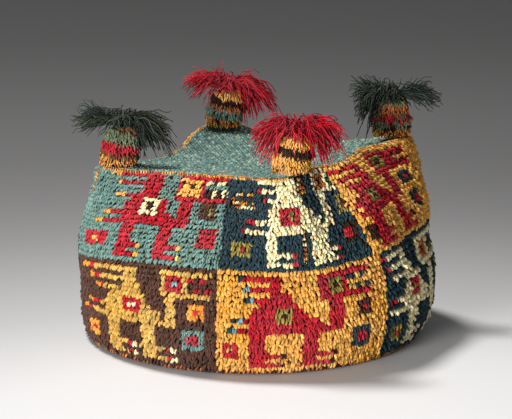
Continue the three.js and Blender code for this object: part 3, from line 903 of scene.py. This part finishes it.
def knots_of(panel):
    """Place, width, row and column of each knot of a panel."""
    border = panel.get("border", (panel["left"], panel["right"]))
    knots = {"azimuth": [], "down": [], "wide": [], "row": [], "column": []}
    columns = np.arange(-SPARE_COLUMNS, PANEL_COLUMNS + SPARE_COLUMNS)
    for row in range(PANEL_ROWS):
        part = (row + 0.5) / PANEL_ROWS
        sides = [between(panel["left"], part), between(panel["right"], part)]
        azimuths = np.linspace(sides[0] - SPARE_ANGLE, sides[1] + SPARE_ANGLE, ROW_SAMPLES)
        along = lengths_along(wall_point(azimuths, row_down(panel["band"], row, azimuths)))
        start, finish = np.interp(sides, azimuths, along)
        wide = (finish - start) / PANEL_COLUMNS
        at = np.interp(start + (columns + 0.5) * wide, along, azimuths)
        kept = (at > between(border[0], part)) & (at < between(border[1], part))
        at = at[kept]
        knots["azimuth"].append(at)
        knots["down"].append(row_down(panel["band"], row, at))
        knots["wide"].append(np.full(len(at), wide))
        knots["row"].append(np.full(len(at), row))
        knots["column"].append(columns[kept])
    return {key: np.concatenate(value) for key, value in knots.items()}


def is_worn(panel, row, column):
    for patch in WORN:
        first, last = patch["rows"]
        left, right = patch["columns"]
        if patch["panel"] == panel["name"] and first <= row <= last and left <= column <= right:
            return True
    return False


def chart_letter(row, column, stretch):
    """The chart's letter at a knot's row and column, as the panel stretches it."""
    if not 0 <= column < PANEL_COLUMNS:
        return "."
    row = stretch["rows"][row]
    part = "head" if row < HEAD_ROWS else "body" if row < BODY_ROWS else "legs"
    places, charted = zip(*stretch[part])
    return CHART[row][min(int(np.interp(column + 0.5, places, charted)), PANEL_COLUMNS - 1)]


def panel_pile(index, panel):
    rng = np.random.default_rng(SEEDS["pile"] + index)
    knots = knots_of(panel)
    yarns = COLOURWAYS[panel["yarns"]]
    stretch = STRETCHES.get(panel["name"], EVEN_STRETCH)
    names = []
    worn = []
    for row, column in zip(knots["row"], knots["column"]):
        bare = is_worn(panel, row, column)
        worn.append(bare)
        names.append(rng.choice(WORN_YARNS) if bare else yarns[chart_letter(row, column, stretch)])
    names = np.array(names)
    worn = np.array(worn)
    place = wall_point(knots["azimuth"], knots["down"])
    axes = wall_frame(knots["azimuth"], knots["down"])
    plump = np.isin(names, PLUMP_YARNS)
    ends = np.where(plump, PLUMP_ENDS, FINE_ENDS)
    paths = []
    radii = []
    tints = []
    sides = []
    for end in range(FINE_ENDS):
        use = end < ends
        across, out, down = (axis[use] for axis in axes)
        here = place[use]
        wide = knots["wide"][use]
        offset = ((end + 0.5) / ends[use] - 0.5) * wide * ENDS_WIDE
        offset = offset + rng.normal(0, ENDS_ASIDE, len(here)) * MM
        stagger = rng.normal(0, ENDS_STAGGER, len(here)) * MM
        start = here + across * offset[:, None] + down * stagger[:, None]
        path = yarn_ends(start, across, out, down, panel["slant"], rng, WALL_LOOSE)
        radius = np.where(plump[use][:, None], PLUMP_RADIUS[None], FINE_RADIUS[None])
        radius = radius * rng.uniform(*END_THICKNESSES, (len(here), 1)) * (wide / WALL_KNOT_WIDE)[:, None]
        flat = start[:, None] + (path - start[:, None]) * WORN_FLATNESS - out[:, None] * WORN_SINK
        bare = worn[use]
        paths.append(np.where(bare[:, None, None], flat, path))
        radii.append(np.where(bare[:, None], radius * WORN_THICKNESS, radius))
        tints.append(spread_tints(names[use], rng, PILE_SHADES))
        sides.append(across)
    name = "pile_" + panel["name"]
    yarn = [np.concatenate(part) for part in (paths, sides, radii, tints)]
    piece = bent_yarns(name, END_TUBE, *yarn, PILE_PAINTED_ROOT_SHADE)
    return finish_piece(piece, PILE_WOOL, "pile_cloth")


# Where the peaks stand


def peak_middle(name):
    """The middle of a peak's foot, from its solid."""
    shape = solid_shape("peak_" + name)
    lowest = min(vert.co.z for vert in shape.verts)
    ring = [vert.co.copy() for vert in shape.verts if vert.co.z < lowest + FOOT_GAP]
    shape.free()
    return sum(ring, Vector()) / len(ring)


PEAK_FEET = {name: peak_middle(name) for name in PEAKS}


def near_peak(point, margin):
    reach = PEAK_RADIUS + margin
    return any(math.hypot(point[0] - foot.x, point[1] - foot.y) < reach for foot in PEAK_FEET.values())


# Stitches: short yarns that dip into the cloth at both ends

STITCH_TUBE = yarn_tube(sides=4, steps=2)
STITCH_RADIUS = np.array([0.36, 0.56, 0.36]) * MM
# Painted shade: how light a stitch is at the end where it dips into the cloth
STITCH_PAINTED_ROOT_SHADE = 0.8


def stitch_paths(place, heading, half, over, dip, rise=0.0):
    """Stitches along heading: their ends lie dip under the place, and their middles rise over it."""
    ends = [place + heading * half * way - over * dip for way in (-1, 1)]
    return np.stack([ends[0], place + over * rise, ends[1]], axis=1)


def stitches(name, paths, across, tints, thickness=1.0):
    return bent_yarns(name, STITCH_TUBE, paths, across, STITCH_RADIUS * thickness, tints, STITCH_PAINTED_ROOT_SHADE)


# The crown's plain knots, in rows that run at 45 degrees to the frame's axes

# CROWN_STRAY is in degrees, and CROWN_RISE, of a knot's middle, and its stray are in millimetres
CROWN_PEAK_OVERLAP = 1 * MM
CROWN_STRAY = 7
CROWN_HALF = 0.62 * STITCH_LONG
CROWN_LENGTHS = (0.85, 1.15)
CROWN_RISE = 0.2
CROWN_RISE_STRAY = 0.12
CROWN_DIP = 0.25 * MM
CROWN_SHADES = 0.15
CROWN_YARNS = ["crown_teal"] * 5 + ["crown_deep"] * 2 + ["crown_pale"]


def crown_stitches():
    rng = np.random.default_rng(SEEDS["crown"])
    tree = solid_tree("crown_top")
    rows = np.arange(-CROWN_REACH, CROWN_REACH, STITCH_ROW)
    steps = np.arange(-CROWN_REACH, CROWN_REACH, STITCH_LONG)
    places = []
    normals = []
    leans = []
    for i, across in enumerate(rows):
        for along in steps + (STITCH_LONG / 2 if i % 2 else 0):
            x = (across - along) * math.sqrt(0.5)
            y = (across + along) * math.sqrt(0.5)
            edge = wall_point(math.degrees(math.atan2(x, -y)), 0.0)
            outside = math.hypot(x, y) > math.hypot(edge[0], edge[1]) - CROWN_MARGIN
            if outside or near_peak((x, y), -CROWN_PEAK_OVERLAP):
                continue
            hit, normal = tree.ray_cast(Vector((x, y, RAY_START)), Vector((0, 0, -1)))[:2]
            if hit is None:
                continue
            places.append(hit[:])
            normals.append(normal[:])
            leans.append(HERRINGBONE if i % 2 else -HERRINGBONE)
    places = np.array(places)
    out = unit(np.array(normals))
    count = len(places)
    lean = np.radians(np.array(leans) + rng.normal(0, CROWN_STRAY, count) - 45)
    heading = np.stack([np.cos(lean), np.sin(lean), np.zeros(count)], axis=1)
    heading = unit(heading - out * np.sum(heading * out, axis=1, keepdims=True))
    half = CROWN_HALF * rng.uniform(*CROWN_LENGTHS, (count, 1))
    rise = rng.normal(CROWN_RISE, CROWN_RISE_STRAY, (count, 1)) * MM
    paths = stitch_paths(places, heading, half, out, CROWN_DIP, rise)
    tints = spread_tints(rng.choice(CROWN_YARNS, count), rng, CROWN_SHADES)
    piece = stitches("crown_stitches", paths, np.cross(out, heading), tints)
    return finish_piece(piece, STITCH_WOOL, "crown_cloth")


# The bright stitches over the joint of wall and crown

EDGE_SAMPLES = 400
EDGE_PEAK_OVERLAP = 1.2 * MM
EDGE_SPACING = 1.25 * MM
EDGE_SHIFT = 0.25
EDGE_DOWN = 0.02
EDGE_STRAY = 8
EDGE_HALF = 1.05 * MM
EDGE_DIP = 0.3 * MM
EDGE_THICKNESS = 0.8
EDGE_SHADES = 0.2
EDGE_YARNS = ["marigold", "ochre", "gold", "rust", "ochre", "crown_deep"]
# Two lines of stitches: millimetres inwards and over the edge, and their slant in degrees
EDGE_LINES = [(0.0, 0.55, 35), (1.5, 0.75, -35)]


def edge_stitches(index, corner, following):
    rng = np.random.default_rng(SEEDS["edge"] + index)
    azimuths = np.linspace(CORNER_AZIMUTHS[corner], CORNER_AZIMUTHS[corner] + 90, EDGE_SAMPLES)
    edge = wall_point(azimuths, 0.0)
    clear = np.array([not near_peak(point, -EDGE_PEAK_OVERLAP) for point in edge])
    azimuths = azimuths[clear]
    along = lengths_along(edge[clear])
    count = int(along[-1] / EDGE_SPACING)
    paths = []
    names = []
    sides = []
    for line, (inward, lift, slant) in enumerate(EDGE_LINES):
        at = np.interp((np.arange(count) + 0.5 + EDGE_SHIFT * line) * EDGE_SPACING, along, azimuths)
        across, out, down = wall_frame(at, np.full(count, EDGE_DOWN))
        over = unit(out + np.array([[0, 0, 1.0]]))
        inner = -outward(at)
        middle = wall_point(at, 0.0) + inner * inward * MM + over * lift * MM
        lean = np.radians(slant + rng.normal(0, EDGE_STRAY, count))[:, None]
        heading = unit(across * np.cos(lean) + (down - inner) * np.sin(lean))
        paths.append(stitch_paths(middle, heading, EDGE_HALF, over, EDGE_DIP))
        names.extend(rng.choice(EDGE_YARNS, count))
        sides.append(np.cross(over, heading))
    name = corner + "_to_" + following
    tints = spread_tints(names, rng, EDGE_SHADES)
    across = np.concatenate(sides)
    piece = stitches("edge_stitches_" + name, np.concatenate(paths), across, tints, EDGE_THICKNESS)
    return finish_piece(piece, STITCH_WOOL, "seam_yarn", "edge_seam_" + name)


# The overcast stitches round the rim

RIM_SAMPLES = 721
RIM_SPACING = 1.9 * MM
RIM_DOWN = 0.98
RIM_YARNS = ["rust", "rust", "dark_brown", "ground", "marigold"]
# A stitch's low end, middle and high end: millimetres outwards, along the rim and above the floor
RIM_STITCH = [(0.35, 0.0, 0.55), (0.75, 0.35, 1.5), (0.2, 0.8, 2.9)]


def rim_stitches():
    rng = np.random.default_rng(SEEDS["rim"])
    azimuths = np.linspace(0, 360, RIM_SAMPLES)
    along = lengths_along(wall_point(azimuths, 1.0))
    count = int(along[-1] / RIM_SPACING)
    at = np.interp((np.arange(count) + 0.5) * along[-1] / count, along, azimuths)
    across = wall_frame(at, np.full(count, RIM_DOWN))[0]
    points = []
    for away, aside, height in RIM_STITCH:
        point = wall_point(at, 1.0) + outward(at) * away * MM + across * aside * MM
        point[:, 2] = height * MM
        points.append(point)
    tints = spread_tints(rng.choice(RIM_YARNS, count), rng)
    piece = stitches("rim_stitches", np.stack(points, axis=1), across, tints)
    return finish_piece(piece, STITCH_WOOL, "rim_cloth")


# The short line of stitches down the left corner

CORNER_LINE_AZIMUTH = 316.5
CORNER_LINE_DOWN = (0.02, 0.13)
CORNER_OUT = 1.3 * MM
CORNER_HALF = 1.2 * MM
CORNER_DIP = 0.4 * MM
CORNER_SLOPE = 0.6
CORNER_YARNS = ["rust", "marigold", "ochre", "marigold", "rust", "ochre", "rust"]


def corner_stitches():
    rng = np.random.default_rng(SEEDS["corner"])
    downs = np.linspace(*CORNER_LINE_DOWN, len(CORNER_YARNS))
    azimuth = np.full(len(downs), CORNER_LINE_AZIMUTH)
    across, out, down = wall_frame(azimuth, downs)
    heading = unit(across + down * CORNER_SLOPE)
    middle = wall_point(azimuth, downs) + out * CORNER_OUT
    paths = stitch_paths(middle, heading, CORNER_HALF, out, CORNER_DIP)
    piece = stitches("corner_stitches", paths, np.cross(out, heading), spread_tints(CORNER_YARNS, rng))
    return finish_piece(piece, STITCH_WOOL, "seam_yarn")


# The stuffed peaks

ROW_START = 0.6
PEAK_STRAY_ASIDE = 0.25
PEAK_STRAY_UP = 0.3
PEAK_END_LENGTH = 0.85
PEAK_YARN_RADIUS = FINE_RADIUS * 0.76
PEAK_SHADES = 0.24
# Painted shade: how light a peak's pile end is at its root, darkened as if shaded by its neighbours
PEAK_PAINTED_ROOT_SHADE = 0.66


def lean_of(name, height):
    """How far the middle of a peak has moved at a share of its height."""
    tip = math.tan(math.radians(PEAKS[name]["tip"]))
    return Vector(outward(LEFT_AZIMUTH + 180.0)) * (height * PEAK_TALL * tip)


def peak_axis(name, height):
    return PEAK_FEET[name] + lean_of(name, height) + Vector((0, 0, height * PEAK_TALL))


def ring_yarn(name, height, knot, rng):
    """The yarn of a peak's knot. The rings of a slanting peak dip towards the right."""
    peak = PEAKS[name]
    round_share = math.radians(360 * knot / PEAK_KNOTS - LEFT_AZIMUTH - 180)
    height = height + peak["slant"] * RING_SLANT * math.cos(round_share) + rng.normal(0, RING_UNEVEN)
    count = len(peak["rings"])
    ring = peak["rings"][int(np.clip(height * count, 0, count - 1))]
    if ring == "speckle":
        return rng.choice(SPECKLE)
    if "/" in ring:
        first, second = ring.split("/")
        return first if (knot // CHECK_KNOTS) % 2 == 0 else second
    return ring


def peak_body(name):
    middle = peak_axis(name, 0.5)[:2]
    node = "peak_" + name
    piece = ground_cloth(node, "peak_body_" + name, PEAK_GROUND, "peak_pile", PEAK_GROUND_SINK, middle)
    return piece


def peak_pile(index, name):
    rng = np.random.default_rng(SEEDS["peak"] + index)
    tree = solid_tree("peak_" + name)
    places = []
    outs = []
    names = []
    for row in range(PEAK_ROWS):
        height = (row + ROW_START) / PEAK_ROWS
        axis = peak_axis(name, height)
        swell = PEAK_SWELL * (abs(math.sin(PEAK_SWELLS * math.pi * height)) - SWELL_MIDDLE)
        swell += PEAK_BELLY - PEAK_NECK * (1 - min(height / NECK_SHARE, 1))
        for knot in range(PEAK_KNOTS * FINE_ENDS):
            azimuth = 360 * (knot + 0.5 * (row % 2)) / (PEAK_KNOTS * FINE_ENDS)
            out = Vector(outward(float(azimuth)))
            hit = tree.ray_cast(axis + out * PEAK_RAY, -out, PEAK_RAY)[0]
            if hit is None:
                continue
            places.append((hit + out * swell)[:])
            outs.append(out[:])
            names.append(ring_yarn(name, height, knot // FINE_ENDS, rng))
    places = np.array(places)
    out = np.array(outs)
    down = np.tile(np.array([[0, 0, -1.0]]), (len(out), 1))
    across = np.cross(out, down)
    places = places + across * rng.normal(0, PEAK_STRAY_ASIDE, (len(places), 1)) * MM
    places[:, 2] += rng.normal(0, PEAK_STRAY_UP, len(places)) * MM
    paths = yarn_ends(places, across, out, down, 0, rng, PEAK_LOOSE, PEAK_END_LENGTH)
    paths = paths - out[:, None] * PEAK_SINK
    tints = spread_tints(names, rng, PEAK_SHADES)
    piece = bent_yarns("peak_pile_" + name, END_TUBE, paths, across, PEAK_YARN_RADIUS, tints, PEAK_PAINTED_ROOT_SHADE)
    return finish_piece(piece, PILE_WOOL, "peak_pile")


# The tassels' threads

THREAD_TUBE = yarn_tube(sides=3, steps=THREAD_STEPS - 1)
# Painted shade: how light a thread is where it leaves the tassel's head
THREAD_PAINTED_ROOT_SHADE = 0.3
TOP_LIFT = 0.3 * MM
FOOT_SPREAD = 0.9
FOOT_DEPTH = 0.5 * MM

# How the threads of a bunch differ: the bell of their reach, and ranges of their drop and arch
REACH_BELL = (4.5, 1.7)
REACH_MOST = 1.08
DROPS = (0.5, 1.15)
ARCHES = (0.2, 1.2)
THREAD_STRAY = 0.08
TURN_STRAY = 0.5

# A thread turns over and comes down at these shares of its reach, and at the second of them it has
# these shares of its arch and its drop. It starts at a share of its foot's distance from the middle.
TURNS_OVER = 0.25
COMES_DOWN = 0.75
ARCH_LEFT = 0.8
DROP_SO_FAR = 0.4
START_SHARE = 0.6

# How each thread waves: millimetres of sway, wave and ripple, radians along it, and its thickness
SWAY = 2.4
WAVE_RADIANS = (6, 17)
WAVES = (0.4, 1.2)
RIPPLES = (0.3, 1.1)
RIPPLE_RATE = 1.2
THREAD_THICKNESSES = (0.75, 1.25)
START_THICKNESS = 1.05
TAPER = 0.35


def tassel_threads(index, name):
    rng = np.random.default_rng(SEEDS["threads"] + index)
    corner = PEAKS[name]
    count = THREADS
    columns = dict(zip(BUNCH_COLUMNS, np.array(BUNCHES[name], float).T))
    picks = rng.choice(len(BUNCHES[name]), count, p=columns["share"] / columns["share"].sum())
    bunch = {key: values[picks] for key, values in columns.items()}
    azimuth = LEFT_AZIMUTH + bunch["turn"] + rng.normal(0, TURN_STRAY, count) * bunch["spread"]
    reach = THREAD_LONG * corner["reach"] * bunch["reach"] * rng.beta(*REACH_BELL, count) * REACH_MOST
    fall = bunch["drop"] * rng.uniform(*DROPS, count) + rng.normal(0, THREAD_STRAY, count)
    drop = (THREAD_LONG * fall)[:, None]
    rise = bunch["arch"] * rng.uniform(*ARCHES, count) + rng.uniform(0, THREAD_STRAY, count)
    arch = (THREAD_LONG * rise)[:, None]
    out = outward(azimuth)
    up = np.array([[0, 0, 1.0]])
    foot = HEAD_RADIUS * rng.uniform(0, FOOT_SPREAD, count)
    top = np.array(peak_axis(name, 1.0)[:]) + np.array([0, 0, TOP_LIFT])
    away = out * reach[:, None]
    high = HEAD_TALL / 2
    begin = top + out * foot[:, None] * START_SHARE - up * FOOT_DEPTH
    over = top + away * TURNS_OVER + up * (high + arch)
    past = top + away * COMES_DOWN + up * (high + arch * ARCH_LEFT - drop * DROP_SO_FAR)
    tip = top + away + up * (high - drop)
    t = np.linspace(0, 1, THREAD_STEPS)[None, :, None]
    paths = (
        begin[:, None] * (1 - t) ** 3
        + over[:, None] * 3 * t * (1 - t) ** 2
        + past[:, None] * 3 * t**2 * (1 - t)
        + tip[:, None] * t**3
    )
    across = np.cross(out, up)
    each = (count, 1, 1)
    sway = rng.normal(0, SWAY, each) * MM * t**2
    wave_at = rng.uniform(0, math.tau, each) + rng.uniform(*WAVE_RADIANS, each) * t
    wave = np.sin(wave_at) * np.sqrt(t) * rng.uniform(*WAVES, each) * MM
    ripple = np.cos(wave_at * RIPPLE_RATE) * np.sqrt(t) * rng.uniform(*RIPPLES, each) * MM
    paths = paths + across[:, None] * (sway + wave) + up[:, None] * ripple
    thin = START_THICKNESS - TAPER * t[..., 0] ** 3
    radii = THREAD_RADIUS * thin * rng.uniform(*THREAD_THICKNESSES, (count, 1))
    tints = spread_tints([corner["thread"]] * count, rng, THREAD_SHADES[corner["thread"]])
    piece = bent_yarns("threads_" + name, THREAD_TUBE, paths, across, radii, tints, THREAD_PAINTED_ROOT_SHADE)
    return finish_piece(piece, THREAD_WOOL, corner["thread"], "tassel_" + name)


ground_cloth("side_wall", "wall_cloth", WALL_GROUND, "pile_cloth", sink=PILE_DEPTH)
ground_cloth("crown_top", "crown_cloth", CROWN_GROUND, "crown_cloth")
ground_cloth("rim_edge", "rim_cloth", RIM_GROUND, "rim_cloth")
for number, panel in enumerate(PANELS):
    panel_pile(number, panel)
crown_stitches()
rim_stitches()
corner_stitches()
for number, (corner, following) in enumerate(EDGES):
    edge_stitches(number, corner, following)
for number, name in enumerate(PEAKS):
    peak_body(name)
    peak_pile(number, name)
    tassel_threads(number, name)


# Floor, light and camera

VIEW_AZIMUTH = 31
VIEW_RISE = 13.5
VIEW_DISTANCE = 1.4
VIEW_AIM = Vector((0, 0, 0.056))
SENSOR = 36
LENS = 216.6
FLOOR_RADIUS = 4.0
FLOOR_DROP = 0.2 * MM
FLOOR_SIDES = 96
# The middle of the floor's painted pool of light: metres from the hat's middle, and degrees turned from the
# camera's azimuth
LIGHT_POOL_DISTANCE = 0.25
LIGHT_POOL_TURN = 9
# The floor's painted light: its tone by its distance in metres from the middle of its painted pool of light,
# dimming to grey far away
PAINTED_LIGHT_STOPS = [(0.0, 0.69), (0.2, 0.62), (0.3, 0.395), (0.45, 0.174), (0.62, 0.121), (1.0, 0.071)]
FLOOR_BLUENESS = 1.01
PAPER_ROUGHNESS = 0.9
PAPER_SPECULAR = 0.1
LAMP_AIM = Vector((0, 0, 0.04))
# Each lamp's degrees from the camera's azimuth, metres away and up, size in metres, watts and colour
LAMPS = {
    "key_light": (-122, 0.44, 1.32, 0.26, 22.5, (1.0, 0.98, 0.96)),
    "fill_light": (-28, 1.5, 0.22, 0.6, 33, (1.0, 0.99, 0.97)),
}
SKY_LIGHT = 0.19


def ground_position(azimuth, distance, height):
    """A place at an azimuth and a distance from the hat's middle."""
    flat = Vector(outward(float(azimuth))) * distance
    return flat + Vector((0, 0, height))


def face_place(item, place):
    """Turn a light or the camera to look at a place."""
    item.rotation_euler = (place - item.location).to_track_quat("-Z", "Y").to_euler()


def floor_finish():
    """Pale paper with a painted pool of light round the hat that fades to grey."""
    material = bare_material("floor_with_painted_light")
    tree = material.node_tree
    place = add_node(tree, "ShaderNodeTexCoord")
    moved = add_node(tree, "ShaderNodeVectorMath", [(0, place.outputs["Object"])], operation="DISTANCE")
    moved.inputs[1].default_value = ground_position(VIEW_AZIMUTH + LIGHT_POOL_TURN, LIGHT_POOL_DISTANCE, 0)
    painted_light_ramp = add_node(tree, "ShaderNodeValToRGB", [(0, moved.outputs["Value"])])
    painted_light_ramp.color_ramp.interpolation = "B_SPLINE"
    while len(painted_light_ramp.color_ramp.elements) < len(PAINTED_LIGHT_STOPS):
        painted_light_ramp.color_ramp.elements.new(0.5)
    for element, (at, tone) in zip(painted_light_ramp.color_ramp.elements, PAINTED_LIGHT_STOPS):
        element.position = at
        element.color = (tone, tone, tone * FLOOR_BLUENESS, 1)
    paper = add_node(tree, "ShaderNodeBsdfPrincipled", [("Base Color", painted_light_ramp.outputs[0])])
    paper.inputs["Roughness"].default_value = PAPER_ROUGHNESS
    paper.inputs["Specular IOR Level"].default_value = PAPER_SPECULAR
    add_node(tree, "ShaderNodeOutputMaterial", [("Surface", paper.outputs[0])])
    return material


def floor_with_painted_light():
    shape = bmesh.new()
    bmesh.ops.create_circle(shape, cap_ends=True, segments=FLOOR_SIDES, radius=FLOOR_RADIUS)
    bmesh.ops.translate(shape, verts=shape.verts, vec=(0, 0, -FLOOR_DROP))
    mesh = bpy.data.meshes.new("floor")
    shape.to_mesh(mesh)
    shape.free()
    mesh.materials.append(floor_finish())
    put_in_scene("floor", mesh)


def soft_light(name, azimuth, distance, height, size, power, colour):
    data = bpy.data.lights.new(name, "AREA")
    data.shape = "DISK"
    data.size = size
    data.energy = power
    data.color = colour
    lamp = put_in_scene(name, data)
    lamp.location = ground_position(azimuth, distance, height)
    face_place(lamp, LAMP_AIM)


def studio():
    scene = bpy.context.scene
    scene.world = bpy.data.worlds.new("studio")
    scene.world.use_nodes = True
    sky = scene.world.node_tree.nodes["Background"]
    sky.inputs["Color"].default_value = (1, 1, 1, 1)
    sky.inputs["Strength"].default_value = SKY_LIGHT
    for name, (turn, distance, height, size, power, colour) in LAMPS.items():
        soft_light(name, VIEW_AZIMUTH + turn, distance, height, size, power, colour)
    scene.view_settings.view_transform = "Standard"
    data = bpy.data.cameras.new("camera")
    data.sensor_width = SENSOR
    data.lens = LENS
    camera = put_in_scene("camera", data)
    rise = math.radians(VIEW_RISE)
    away = VIEW_DISTANCE * math.cos(rise)
    camera.location = VIEW_AIM + ground_position(VIEW_AZIMUTH, away, VIEW_DISTANCE * math.sin(rise))
    face_place(camera, VIEW_AIM)
    scene.camera = camera


floor_with_painted_light()
studio()
